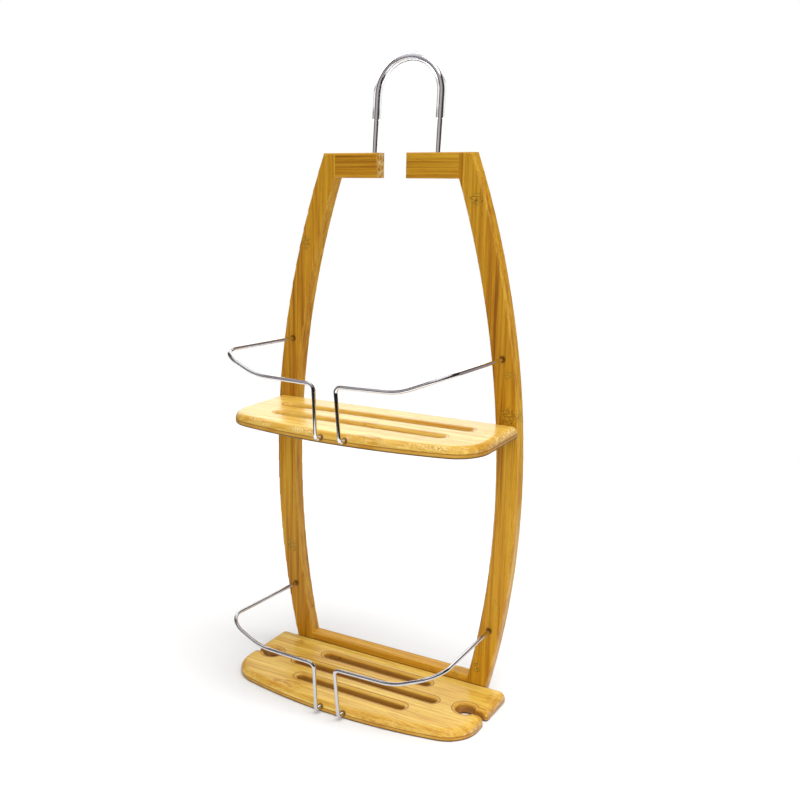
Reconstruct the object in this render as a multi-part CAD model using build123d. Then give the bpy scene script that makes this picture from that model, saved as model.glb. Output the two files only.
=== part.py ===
"""Hanging shower caddy: a bowed bamboo frame with two shelves, wire guards and a sleeved wire hook.

Sizes are in millimetres. Each piece is drawn with the front face of the frame at y = 0, the floor
under the lower shelf at z = 0 and the middle of the frame at x = 0. The viewer stands at -Y.
centred() then moves every piece so that the origin is the middle of the bottom of the whole caddy.
"""
import os
from math import cos, radians, sin, sqrt

from build123d import *

# ---- frame -----------------------------------------------------------------------------------------
frame_height = 441.0        # floor to the top of the arms
frame_thickness = 12.5      # stiles, arms and rail are cut from one board thickness
belly_height = 178.5        # where the stiles are furthest apart
top_half = 65.7             # outer half width at the top
belly_half = 113.6          # outer half width at the belly
foot_half = 91.6            # outer half width at the floor
window_top_half = 54.5      # half width of the window under the arms
stile_belly_width = 18.7
stile_foot_width = 17.8
arm_depth = 19.5            # height of a top arm
rail_height = 15.5          # height of the bottom rail
frame_round = 1.5           # rounding of the front and back edges of the frame
pipe_gap = 25.0             # opening between the arms for the shower pipe
gap_shift = -3.0            # the opening lies a little to the left of the middle

# ---- shelves ---------------------------------------------------------------------------------------
shelf_inset = 2.1           # how far a shelf's side stays inside the belly of the frame
shelf_depth = 92.5          # frame face to the middle of the shelf's front edge
shelf_crown = 15.4          # how much further the middle reaches than the sides
shelf_corner = 29.0         # radius of the front corners, seen from above
shelf_thickness = 9.0
shelf_round = 5.5           # rounding of the upper outer edges
shelf_bottom_round = 1.0
upper_shelf_top = 235.7     # floor to the top of the upper shelf
slot_width = 7.0
slot_insets = {"upper": (26.7, 36.3), "lower": (60.2, 43.3, 60.7)}    # slot's end to the shelf's side
first_slot = {"upper": 27.0, "lower": 19.0}     # frame to the middle of the slot nearest to it
last_slot = {"upper": 36.5, "lower": 27.9}      # middle of the front slot to the shelf's front edge
keyhole_diameter = 15.0
keyhole_inset = 17.5        # hole centre to the side of the shelf
keyhole_front = 37.1        # hole centre to the front end of the shelf's side
neck_width = 5.5
opening_round = 3.5         # rounding of the rims of slots and keyholes and of the neck's mouth

# ---- guards, one wire on each side of each shelf ---------------------------------------------------
guard_wire = 3.0
guard_clear = 11.5          # front run of the guard in front of the shelf
guard_post_height = 51.4    # hole in the stile above the shelf's top
guard_side_inset = 13.7     # side run inside the side of the shelf
guard_elbow_back = 3.7      # the elbow is this much behind the front run
guard_elbow_height = 54.9
guard_knee_share = 0.553    # where the front run begins, as a share of the shelf's half width
guard_knee_height = 40.2
guard_corner_height = 39.0
guard_leg_half = 9.5        # half distance between the two legs at the top
guard_foot_half = 10.6      # and at the shelf
guard_foot_clear = 6.9      # leg in front of the shelf's edge where it turns in
guard_bends = (20.0, 55.0, 4.8, 3.6)    # bend radii: elbow, knee, corner, foot
guard_seat = 9.0            # how deep a wire end sits in the wood

# ---- hook ------------------------------------------------------------------------------------------
hook_wire = 3.6
left_leg_inset = 5.9        # middle of the left leg to the end of its arm at the gap
right_leg_inset = 24.5
hook_leg = 44.0             # straight leg above the arms
hook_lean = 5.0             # degrees, backwards
hook_seat = 14.0
sleeve_diameter = 6.6
sleeve_start = 25.0         # bare wire between the arm and the end of the sleeve

# ---- dowels and screws -----------------------------------------------------------------------------
dowel_diameter = 5.0
arm_dowel_spacing = 9.0
dowel_in_arm = 15.0
dowel_in_stile = 7.0
rail_dowel_drop = 4.5       # middle of the dowel below the rail's top
screw_shank = 3.2
screw_head = 6.8
screw_head_depth = 2.4
screw_tip = 2.4             # length of the conical point
screw_drive = 3.6           # across the cross recess
stile_screw_length = 28.0
rail_screw_length = 24.0
rail_screw_half = 38.0      # half distance between the two screws of the rail

# ---- clearances ------------------------------------------------------------------------------------
wire_clearance = 0.10       # round a wire in its hole or sleeve, on the radius
dowel_clearance = 0.05
screw_clearance = 0.10
hole_end_clearance = 0.5    # left beyond the end of a dowel, a wire or a screw
cut_beyond = 1.0            # how far a cut runs past the surfaces that it divides
rim_margin = 0.1            # how near to a rim an edge lies to be one of its edges

# ---- values that follow ----------------------------------------------------------------------------
arm_bottom = frame_height - arm_depth
gap_left = gap_shift - pipe_gap / 2
gap_right = gap_shift + pipe_gap / 2
shelf_half = belly_half - shelf_inset
shelf_side = shelf_depth - shelf_crown
keyhole_back = shelf_side - keyhole_front
front_radius = (shelf_half**2 + shelf_crown**2) / (2 * shelf_crown)
guard_reach = shelf_depth + guard_clear
hook_radius = (pipe_gap + left_leg_inset + right_leg_inset) / 2
hook_shift = gap_shift + (right_leg_inset - left_leg_inset) / 2
rail_dowel_height = rail_height - rail_dowel_drop
mid_thickness = frame_thickness / 2
lean = radians(hook_lean)
hook_back = mid_thickness + (hook_leg + hook_radius) * sin(lean) + sleeve_diameter / 2
frame_front_y = (guard_reach + guard_wire / 2 - hook_back) / 2
cut_top = frame_height + cut_beyond
cut_front, cut_back = -cut_beyond, frame_thickness + cut_beyond
shelf_tops = {"upper": upper_shelf_top, "lower": shelf_thickness}
sides = {"left": -1, "right": 1}


def arc_through(foot, belly, top, z):
    """Half width at height z of the arc through three (half width, height) points."""
    (x1, z1), (x2, z2), (x3, z3) = foot, belly, top
    d = 2 * (x1 * (z2 - z3) + x2 * (z3 - z1) + x3 * (z1 - z2))
    s1, s2, s3 = x1 * x1 + z1 * z1, x2 * x2 + z2 * z2, x3 * x3 + z3 * z3
    cx = (s1 * (z2 - z3) + s2 * (z3 - z1) + s3 * (z1 - z2)) / d
    cz = (s1 * (x3 - x2) + s2 * (x1 - x3) + s3 * (x2 - x1)) / d
    radius = sqrt((x1 - cx) ** 2 + (z1 - cz) ** 2)
    return cx + sqrt(radius**2 - (z - cz) ** 2)


outer_points = ((foot_half, 0.0), (belly_half, belly_height), (top_half, frame_height))
inner_points = (
    (foot_half - stile_foot_width, 0.0),
    (belly_half - stile_belly_width, belly_height),
    (window_top_half, arm_bottom),
)


def outer_half(z):
    """Outer half width of the frame at height z."""
    return arc_through(*outer_points, z)


def inner_half(z):
    """Inner half width of the frame at height z."""
    return arc_through(*inner_points, z)


def stile_middle(z):
    """Distance of the middle of a stile from the middle of the frame at height z."""
    return (outer_half(z) + inner_half(z)) / 2


def shelf_front(x):
    """y of the shelf's front edge at x."""
    return -shelf_depth + front_radius - sqrt(front_radius**2 - x * x)


def centred(shape):
    """A shape moved from the drawing position to the origin of the finished caddy."""
    return Pos(0, frame_front_y, 0) * shape


def rod(start, end, radius):
    """Round bar between two points."""
    a, b = Vector(*start), Vector(*end)
    return extrude(Plane(a, z_dir=b - a) * Circle(radius), (b - a).length)


def bowed_face(half, low, high, middle):
    """Upright face between two mirrored arcs and two level edges."""
    x_low, x_mid, x_high = half(low), half(middle), half(high)
    edges = [
        Line((-x_low, low), (x_low, low)),
        ThreePointArc((x_low, low), (x_mid, middle), (x_high, high)),
        Line((x_high, high), (-x_high, high)),
        ThreePointArc((-x_high, high), (-x_mid, middle), (-x_low, low)),
    ]
    return Plane.XZ * make_face(edges)


def upright_box(x0, x1, z0, z1, y0, y1):
    """Box between two corners."""
    return Pos((x0 + x1) / 2, (y0 + y1) / 2, (z0 + z1) / 2) * Box(x1 - x0, y1 - y0, z1 - z0)


# ---- fasteners -------------------------------------------------------------------------------------
def screw(x, z, length):
    """Countersunk cross-recess wood screw that enters from the back at (x, z)."""
    radius = screw_shank / 2
    profile = Polyline(
        (0, 0),
        (screw_head / 2, 0),
        (radius, screw_head_depth),
        (radius, length - screw_tip),
        (0, length),
        close=True,
    )
    body = revolve(Plane.XZ * make_face(profile), Axis.Z)
    arm = screw_drive / 4
    recess = Box(screw_drive, arm, screw_head_depth) + Box(arm, screw_drive, screw_head_depth)
    body -= recess
    return Pos(x, frame_thickness, z) * Rot(90, 0, 0) * body


def screw_hole(x, z, length):
    """Countersunk hole that clears a screw all round."""
    radius = screw_shank / 2 + screw_clearance
    head = screw_head / 2 + screw_clearance
    profile = Polyline(
        (0, -screw_clearance),
        (head, -screw_clearance),
        (head, 0),
        (radius, screw_head_depth + screw_clearance),
        (radius, length + hole_end_clearance),
        (0, length + hole_end_clearance),
        close=True,
    )
    return Pos(x, frame_thickness, z) * Rot(90, 0, 0) * revolve(Plane.XZ * make_face(profile), Axis.Z)


def shelf_screw_places(level):
    """(side, x, z) of the two screws that hold a shelf to the stiles."""
    z = shelf_tops[level] - shelf_thickness / 2
    return [(name, sign * stile_middle(z), z) for name, sign in sides.items()]


rail_screw_places = [(sign * rail_screw_half, shelf_thickness / 2) for sign in (-1, 1)]


def dowel(x, z, inward, into_stile, into_other, spare=0.0, clearance=0.0):
    """Level dowel across a joint at x; inward is the direction from the stile to its neighbour."""
    start = (x - inward * (into_stile + spare), mid_thickness, z)
    end = (x + inward * (into_other + spare), mid_thickness, z)
    return rod(start, end, dowel_diameter / 2 + clearance)


def arm_dowels(sign, **room):
    """The two dowels between a stile and its arm."""
    middle = frame_height - arm_depth / 2
    heights = (middle - arm_dowel_spacing / 2, middle + arm_dowel_spacing / 2)
    joint = sign * window_top_half
    return [dowel(joint, z, -sign, dowel_in_stile, dowel_in_arm, **room) for z in heights]


def rail_dowel(sign, **room):
    """The dowel between a stile and the bottom rail."""
    joint = sign * inner_half(rail_dowel_height)
    return dowel(joint, rail_dowel_height, -sign, dowel_in_stile, dowel_in_arm, **room)


hole_room = {"spare": hole_end_clearance, "clearance": dowel_clearance}


# ---- guards ----------------------------------------------------------------------------------------
def guard_points(level, sign):
    """Corner points of a guard, from the end in the stile to the end in the shelf's front edge."""
    top = shelf_tops[level]
    hole_height = top + guard_post_height
    hole = Vector(sign * stile_middle(hole_height), 0, hole_height)
    elbow = Vector(
        sign * (shelf_half - guard_side_inset), -guard_reach + guard_elbow_back, top + guard_elbow_height
    )
    knee = Vector(sign * shelf_half * guard_knee_share, -guard_reach, top + guard_knee_height)
    corner = Vector(sign * guard_leg_half, -guard_reach, top + guard_corner_height)
    edge = shelf_front(guard_foot_half)
    foot = Vector(sign * guard_foot_half, edge - guard_foot_clear, top - shelf_thickness / 2)
    inside = Vector(foot.X, edge + guard_seat, foot.Z)
    outward = (hole - elbow).normalized()
    return [hole + outward * guard_seat, elbow, knee, corner, foot, inside]


def guard(level, sign):
    """Bent wire of a guard."""
    path = FilletPolyline(*guard_points(level, sign), radius=list(guard_bends))
    return sweep(Plane(path @ 0, z_dir=path % 0) * Circle(guard_wire / 2), path=path)


def guard_holes(level, sign):
    """Holes for the two ends of a guard: (in the stile, in the shelf)."""
    points = guard_points(level, sign)
    radius = guard_wire / 2 + wire_clearance
    along = (points[0] - points[1]).normalized()
    post = rod(points[0] + along * hole_end_clearance, points[1], radius)
    inward = (points[5] - points[4]).normalized()
    foot = rod(points[5] + inward * hole_end_clearance, points[4], radius)
    return post, foot


# ---- hook ------------------------------------------------------------------------------------------
hook_plane = Plane((hook_shift, mid_thickness, frame_height), x_dir=(1, 0, 0), z_dir=(0, -cos(lean), sin(lean)))


def hook_path(start):
    """Path of the hook, from start above the arm up one leg, over and down to the same height."""
    r = hook_radius
    rise = Line((-r, start), (-r, hook_leg))
    arch = ThreePointArc((-r, hook_leg), (0, hook_leg + r), (r, hook_leg))
    fall = Line((r, hook_leg), (r, start))
    return hook_plane * Wire([rise, arch, fall])


def along(path, section):
    """Solid swept from a section round the start of a path."""
    return sweep(Plane(path @ 0, z_dir=path % 0) * section, path=path)


def hook_holes():
    """Holes in the arms for the legs of the hook."""
    holes = []
    for sign in (-1, 1):
        low = hook_plane.from_local_coords(Vector(sign * hook_radius, -hook_seat - hole_end_clearance, 0))
        high = hook_plane.from_local_coords(Vector(sign * hook_radius, hook_wire, 0))
        holes.append(rod(low, high, hook_wire / 2 + wire_clearance))
    return holes


# ---- wooden pieces ---------------------------------------------------------------------------------
def frame_blank():
    """The whole frame as one rounded board, before it is divided at its joints."""
    face = bowed_face(outer_half, 0, frame_height, belly_height)
    board = extrude(face, -frame_thickness)
    window = extrude(bowed_face(inner_half, rail_height, arm_bottom, belly_height), -frame_thickness)
    gap = upright_box(gap_left, gap_right, arm_bottom - cut_beyond, cut_top, cut_front, cut_back)
    board = board - window - gap
    rims = board.edges().filter_by_position(Axis.Y, 0, 0) + board.edges().filter_by_position(
        Axis.Y, frame_thickness, frame_thickness
    )
    return fillet(rims, frame_round)


def frame_pieces():
    """The five wooden pieces of the frame, cut out of the rounded board and drilled."""
    blank = frame_blank()
    left_arm = blank & upright_box(-window_top_half, gap_left, arm_bottom, cut_top, cut_front, cut_back)
    right_arm = blank & upright_box(gap_right, window_top_half, arm_bottom, cut_top, cut_front, cut_back)
    rail_zone = extrude(bowed_face(inner_half, 0, rail_height, rail_height / 2), -frame_thickness)
    rail = blank & rail_zone
    wide = 2 * belly_half
    low = arm_bottom - cut_beyond
    left_stile = (blank - rail_zone) & upright_box(-wide, 0, -cut_beyond, cut_top, cut_front, cut_back)
    right_stile = (blank - rail_zone) & upright_box(0, wide, -cut_beyond, cut_top, cut_front, cut_back)
    left_stile -= upright_box(-window_top_half, 0, low, cut_top, cut_front, cut_back)
    right_stile -= upright_box(0, window_top_half, low, cut_top, cut_front, cut_back)
    stiles = {"left": left_stile, "right": right_stile}
    arms = {"left": left_arm, "right": right_arm}
    for name, sign in sides.items():
        for hole in arm_dowels(sign, **hole_room):
            stiles[name] -= hole
            arms[name] -= hole
        rail_hole = rail_dowel(sign, **hole_room)
        stiles[name] -= rail_hole
        rail -= rail_hole
        for level in shelf_tops:
            stiles[name] -= guard_holes(level, sign)[0]
            for side, x, z in shelf_screw_places(level):
                if side == name:
                    stiles[name] -= screw_hole(x, z, stile_screw_length)
    for x, z in rail_screw_places:
        rail -= screw_hole(x, z, rail_screw_length)
    for arm_name, hole in zip(sides, hook_holes()):
        arms[arm_name] -= hole
    return stiles, arms, rail


def keyhole(sign):
    """Outline of a razor keyhole: a round hole with a neck that runs out past the shelf's side."""
    x = sign * (shelf_half - keyhole_inset)
    reach = 2 * keyhole_inset
    neck = Pos(x + sign * reach / 2, -keyhole_back) * Rectangle(reach, neck_width)
    return Pos(x, -keyhole_back) * Circle(keyhole_diameter / 2) + neck


def shelf_outline():
    """Outline of a shelf seen from above, without its openings."""
    h = shelf_half
    edges = [
        Line((-h, 0), (h, 0)),
        Line((h, 0), (h, -shelf_side)),
        ThreePointArc((h, -shelf_side), (0, -shelf_depth), (-h, -shelf_side)),
        Line((-h, -shelf_side), (-h, 0)),
    ]
    face = make_face(edges)
    front_corners = [v for v in face.vertices() if abs(v.Y + shelf_side) < rim_margin]
    return fillet(front_corners, shelf_corner)


def rounded_outside(board, low, top):
    """A board with its outer edges rounded above and below, except the edge against the frame."""
    for height, radius in ((top, shelf_round), (low, shelf_bottom_round)):
        rim = board.edges().filter_by_position(Axis.Z, height, height)
        board = fillet([e for e in rim if e.center().Y < -radius], radius)
    return board


def slot_step(level):
    """Distance between the middles of neighbouring drain slots of a shelf."""
    return (shelf_depth - last_slot[level] - first_slot[level]) / (len(slot_insets[level]) - 1)


def slot_places(level):
    """(half length, distance from the frame) of each drain slot of a shelf, evenly spaced."""
    step = slot_step(level)
    return [(shelf_half - inset, first_slot[level] + k * step) for k, inset in enumerate(slot_insets[level])]


def slot_round(level):
    """Rounding of a slot's rim, no more than the wall between two slots allows."""
    return min(opening_round, (slot_step(level) - slot_width) / 2 - rim_margin)


def is_keyhole_rim(edge, low, top):
    """Whether an edge is on a keyhole's upper rim or at the mouth of its neck."""
    at = edge.center()
    in_depth = abs(at.Y + keyhole_back) < keyhole_diameter / 2 + rim_margin
    in_width = abs(at.X) > shelf_half - keyhole_inset - keyhole_diameter
    at_mouth = abs(at.X) > shelf_half - shelf_round and at.Z > low + shelf_bottom_round
    return in_depth and in_width and (at.Z > top - rim_margin or at_mouth)


def is_slot_rim(edge, level, top):
    """Whether an edge is on the upper rim of a drain slot."""
    at = edge.center()
    return at.Z > top - rim_margin and any(
        abs(at.X) < half + rim_margin and abs(at.Y + back) < slot_width / 2 + rim_margin
        for half, back in slot_places(level)
    )


def shelf(level):
    """A shelf with rounded edges, its openings and the holes for its screws and guard ends."""
    top = shelf_tops[level]
    low = top - shelf_thickness
    board = Pos(0, 0, top) * extrude(shelf_outline(), -shelf_thickness)
    board = rounded_outside(board, low, top)
    if level == "lower":
        for sign in sides.values():
            board -= Pos(0, 0, low) * extrude(keyhole(sign), shelf_thickness)
        board = fillet([e for e in board.edges() if is_keyhole_rim(e, low, top)], opening_round)
    for half_length, back in slot_places(level):
        slot = Pos(0, -back, low) * extrude(SlotOverall(2 * half_length, slot_width), shelf_thickness)
        board -= slot
    board = fillet([e for e in board.edges() if is_slot_rim(e, level, top)], slot_round(level))
    for _, x, z in shelf_screw_places(level):
        board -= screw_hole(x, z, stile_screw_length)
    if level == "lower":
        for x, z in rail_screw_places:
            board -= screw_hole(x, z, rail_screw_length)
    for sign in sides.values():
        board -= guard_holes(level, sign)[1]
    return board


# ---- the whole caddy -------------------------------------------------------------------------------
def all_pieces():
    """Every piece by the name of its node, at its drawing position."""
    stiles, arms, rail = frame_pieces()
    pieces = {"bottom_rail": rail}
    for name, sign in sides.items():
        pieces[f"{name}_stile"] = stiles[name]
        pieces[f"{name}_top_arm"] = arms[name]
        pieces[f"{name}_arm_dowels"] = Compound(arm_dowels(sign))
        pieces[f"{name}_rail_dowel"] = rail_dowel(sign)
    for level in shelf_tops:
        pieces[f"{level}_shelf"] = shelf(level)
        for name, sign in sides.items():
            pieces[f"{level}_{name}_guard"] = guard(level, sign)
        for name, x, z in shelf_screw_places(level):
            pieces[f"{level}_{name}_shelf_screw"] = screw(x, z, stile_screw_length)
    pieces["rail_screws"] = Compound([screw(x, z, rail_screw_length) for x, z in rail_screw_places])
    pieces["hanging_hook"] = along(hook_path(-hook_seat), Circle(hook_wire / 2))
    sleeve_bore = Circle(hook_wire / 2 + wire_clearance)
    pieces["hook_sleeve"] = along(hook_path(sleeve_start), Circle(sleeve_diameter / 2) - sleeve_bore)
    return pieces


def main():
    """Write one STEP file for each piece."""
    os.makedirs("parts", exist_ok=True)
    for name, piece in all_pieces().items():
        export_step(centred(piece), f"parts/{name}.step")


main()
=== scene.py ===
"""Looks of a hanging bamboo shower caddy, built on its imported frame.

Lengths are in metres. +X is to the right seen from the front, +Y to the wall and +Z up.
"""
import logging
from dataclasses import dataclass, field
from enum import Enum
from math import cos, pi, radians, sin

import bmesh
import bpy
import numpy as np
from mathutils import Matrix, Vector


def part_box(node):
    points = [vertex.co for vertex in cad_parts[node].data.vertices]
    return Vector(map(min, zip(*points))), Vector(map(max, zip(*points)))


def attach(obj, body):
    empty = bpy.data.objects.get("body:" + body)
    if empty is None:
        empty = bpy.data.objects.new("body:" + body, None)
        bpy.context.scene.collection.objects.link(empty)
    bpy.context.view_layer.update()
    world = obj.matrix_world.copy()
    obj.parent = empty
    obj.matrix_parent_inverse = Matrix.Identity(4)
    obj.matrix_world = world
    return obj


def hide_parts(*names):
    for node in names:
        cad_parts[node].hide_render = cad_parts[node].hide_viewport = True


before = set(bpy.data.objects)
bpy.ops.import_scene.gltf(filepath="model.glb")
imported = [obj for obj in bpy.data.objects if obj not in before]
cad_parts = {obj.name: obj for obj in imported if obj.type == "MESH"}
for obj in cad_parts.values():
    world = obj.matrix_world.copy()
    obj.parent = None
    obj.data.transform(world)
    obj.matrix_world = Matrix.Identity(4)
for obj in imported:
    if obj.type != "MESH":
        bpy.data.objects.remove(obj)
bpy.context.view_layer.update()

log = logging.getLogger("caddy")
Point = tuple[float, float, float]
Colour = tuple[float, float, float, float]
Socket = bpy.types.NodeSocket


# ---- measures of the caddy ---------------------------------------------------------------------------
@dataclass(frozen=True)
class Bow:
    """Upright circle arc that gives the half width of the frame at a height."""

    centre_x: float
    centre_z: float
    radius: float

    @classmethod
    def through(
        cls, foot: tuple[float, float], belly: tuple[float, float], top: tuple[float, float],
    ) -> "Bow":
        """Arc through three points.

        Args:
            foot, belly, top: (half width, height) of each point.

        Returns:
            The arc, from the linear equations of the circle through the points.
        """
        points = np.array([foot, belly, top])
        rows = np.column_stack([2 * points, np.ones(3)])
        x, z, rest = np.linalg.solve(rows, (points**2).sum(axis=1))
        return cls(float(x), float(z), float(np.sqrt(rest + x * x + z * z)))

    def half_width(self, z: float) -> float:
        """Half width at height z."""
        return self.centre_x + float(np.sqrt(self.radius**2 - (z - self.centre_z) ** 2))


@dataclass(frozen=True)
class Measures:
    """Driving sizes of the caddy; what the frame knows is read from it."""

    board: float = 0.0125
    belly_height: float = 0.1785
    top_half: float = 0.0657
    belly_half: float = 0.1136
    foot_half: float = 0.0916
    window_top_half: float = 0.0545
    stile_belly: float = 0.0187
    stile_foot: float = 0.0178
    arm_depth: float = 0.0195
    shelf_half: float = 0.1115
    shelf_depth: float = 0.0925
    shelf_crown: float = 0.0154
    shelf_round: float = 0.0055
    opening_round: float = 0.0035
    slot_width: float = 0.007
    keyhole_radius: float = 0.0075
    keyhole_x: float = 0.094
    keyhole_back: float = 0.040
    neck_width: float = 0.0055
    guard_post: float = 0.0514
    guard_foot_half: float = 0.0106
    face_y: float = field(default_factory=lambda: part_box("bottom_rail")[0].y)
    height: float = field(default_factory=lambda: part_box("left_stile")[1].z)
    upper_top: float = field(default_factory=lambda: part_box("upper_shelf")[1].z)
    lower_top: float = field(default_factory=lambda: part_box("lower_shelf")[1].z)
    shelf_thickness: float = field(default_factory=lambda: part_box("lower_shelf")[1].z)

    @property
    def outer(self) -> Bow:
        """Outer side of the stiles."""
        belly = (self.belly_half, self.belly_height)
        return Bow.through((self.foot_half, 0.0), belly, (self.top_half, self.height))

    @property
    def inner(self) -> Bow:
        """Inner side of the stiles.

        Returns:
            The arc.
        """
        foot = (self.foot_half - self.stile_foot, 0.0)
        belly = (self.belly_half - self.stile_belly, self.belly_height)
        return Bow.through(foot, belly, (self.window_top_half, self.height - self.arm_depth))

    def stile_middle(self, z: float) -> float:
        """Distance of the middle of a stile from the middle of the frame at height z."""
        return (self.outer.half_width(z) + self.inner.half_width(z)) / 2

    def shelf_front(self, x: float) -> float:
        """y of the bowed front edge of a shelf at x."""
        radius = (self.shelf_half**2 + self.shelf_crown**2) / (2 * self.shelf_crown)
        return self.face_y - self.shelf_depth + radius - float(np.sqrt(radius**2 - x * x))


# ---- node trees --------------------------------------------------------------------------------------
class Graph:
    """Short way to add and join the nodes of one tree."""

    def __init__(self, tree: bpy.types.NodeTree) -> None:
        """Works on the given tree."""
        self.tree = tree

    def add(self, kind: str, **settings: object) -> bpy.types.Node:
        """A new node of a kind, with properties set on it.

        Args:
            kind: Blender's name for the node.
            settings: properties and their values.

        Returns:
            The node.
        """
        node = self.tree.nodes.new(kind)
        for name, value in settings.items():
            setattr(node, name, value)
        return node

    def feed(self, socket: bpy.types.NodeSocket, value: object) -> None:
        """Joins another socket to this one, or sets its own value.

        Args:
            socket: input socket.
            value: another socket, or a number, vector or colour.
        """
        if isinstance(value, Socket):
            self.tree.links.new(value, socket)
        else:
            socket.default_value = value

    def math(self, operation: str, *values: object, clamp: bool = False) -> Socket:
        """Result of a Math node on up to three values.

        Args:
            operation: Blender's name for the operation.
            values: sockets or numbers.
            clamp: keeps the result from 0 to 1.

        Returns:
            The result.
        """
        node = self.add("ShaderNodeMath", operation=operation, use_clamp=clamp)
        for socket, value in zip(node.inputs, values):
            self.feed(socket, value)
        return node.outputs[0]

    def vector(self, operation: str, *values: object) -> Socket:
        """Result of a Vector Math node: a vector, or a number for LENGTH and DISTANCE.

        Args:
            operation: Blender's name for the operation.
            values: sockets or vectors.

        Returns:
            The result.
        """
        node = self.add("ShaderNodeVectorMath", operation=operation)
        for socket, value in zip(node.inputs, values):
            self.feed(socket, value)
        return node.outputs["Value" if operation in ("LENGTH", "DISTANCE", "DOT_PRODUCT") else "Vector"]

    def parts(self, vector: Socket) -> tuple[Socket, ...]:
        """The three components of a vector.

        Args:
            vector: socket of a vector.

        Returns:
            Its x, y and z.
        """
        node = self.add("ShaderNodeSeparateXYZ")
        self.feed(node.inputs[0], vector)
        return tuple(node.outputs)

    def joined(self, x: object, y: object, z: object) -> Socket:
        """A vector of three values.

        Args:
            x, y, z: sockets or numbers.

        Returns:
            The vector.
        """
        node = self.add("ShaderNodeCombineXYZ")
        for socket, value in zip(node.inputs, (x, y, z)):
            self.feed(socket, value)
        return node.outputs[0]

    def noise(
        self, vector: object, scale: float, detail: float = 2.0, distortion: float = 0.0,
    ) -> Socket:
        """Value of a Noise Texture.

        Args:
            vector: where the noise is read.
            scale: how fine it is.
            detail: octaves.
            distortion: how much it is bent.

        Returns:
            The value, about 0.5 on average.
        """
        node = self.add("ShaderNodeTexNoise")
        self.feed(node.inputs["Vector"], vector)
        node.inputs["Scale"].default_value = scale
        node.inputs["Detail"].default_value = detail
        node.inputs["Distortion"].default_value = distortion
        return node.outputs["Fac"]

    def step(
        self, value: object, low: object, high: object, to_low: float = 0.0, to_high: float = 1.0,
    ) -> Socket:
        """Smooth step of a value from to_low at low to to_high at high.

        Args:
            value: what is stepped.
            low, high: where the step begins and ends.
            to_low, to_high: values before and after it.

        Returns:
            The stepped value.
        """
        node = self.add("ShaderNodeMapRange", interpolation_type="SMOOTHSTEP")
        for name, setting in (("Value", value), ("From Min", low), ("From Max", high)):
            self.feed(node.inputs[name], setting)
        node.inputs["To Min"].default_value = to_low
        node.inputs["To Max"].default_value = to_high
        return node.outputs["Result"]

    def mix(self, amount: object, first: object, second: object) -> Socket:
        """Mix of two colours.

        Args:
            amount: share of the second colour.
            first, second: the colours.

        Returns:
            The mixed colour.
        """
        node = self.add("ShaderNodeMix", data_type="RGBA")
        for index, value in ((0, amount), (6, first), (7, second)):
            self.feed(node.inputs[index], value)
        return node.outputs[2]

    def ramp(self, value: object, stops: tuple[tuple[float, Colour], ...]) -> Socket:
        """Colour of a ramp with the given (place, colour) stops.

        Args:
            value: place on the ramp, from 0 to 1.
            stops: places and colours in rising order.

        Returns:
            The colour.
        """
        node = self.add("ShaderNodeValToRGB")
        elements = node.color_ramp.elements
        while len(elements) < len(stops):
            elements.new(0.5)
        for element, (place, colour) in zip(elements, stops):
            element.position = place
            element.color = colour
        self.feed(node.inputs[0], value)
        return node.outputs[0]

    def group(self, tree: bpy.types.NodeTree, **values: object) -> bpy.types.Node:
        """A node of a node group, with its inputs fed; underscores stand for spaces.

        Args:
            tree: the node group.
            values: what feeds its inputs, by name.

        Returns:
            The node.
        """
        node = self.add("ShaderNodeGroup", node_tree=tree)
        for name, value in values.items():
            self.feed(node.inputs[name.replace("_", " ")], value)
        return node


def new_group(
    name: str, inputs: dict[str, str], outputs: dict[str, str],
) -> tuple[bpy.types.NodeTree, Graph, bpy.types.Node, bpy.types.Node]:
    """A node group with named sockets.

    Args:
        name: the group's name.
        inputs, outputs: names of the sockets, each with its kind: Float, Vector or Color.

    Returns:
        (tree, graph, input node, output node).
    """
    tree = bpy.data.node_groups.new(name, "ShaderNodeTree")
    for label, kind in inputs.items():
        tree.interface.new_socket(name=label, in_out="INPUT", socket_type=f"NodeSocket{kind}")
    for label, kind in outputs.items():
        tree.interface.new_socket(name=label, in_out="OUTPUT", socket_type=f"NodeSocket{kind}")
    graph = Graph(tree)
    return tree, graph, graph.add("NodeGroupInput"), graph.add("NodeGroupOutput")


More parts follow.
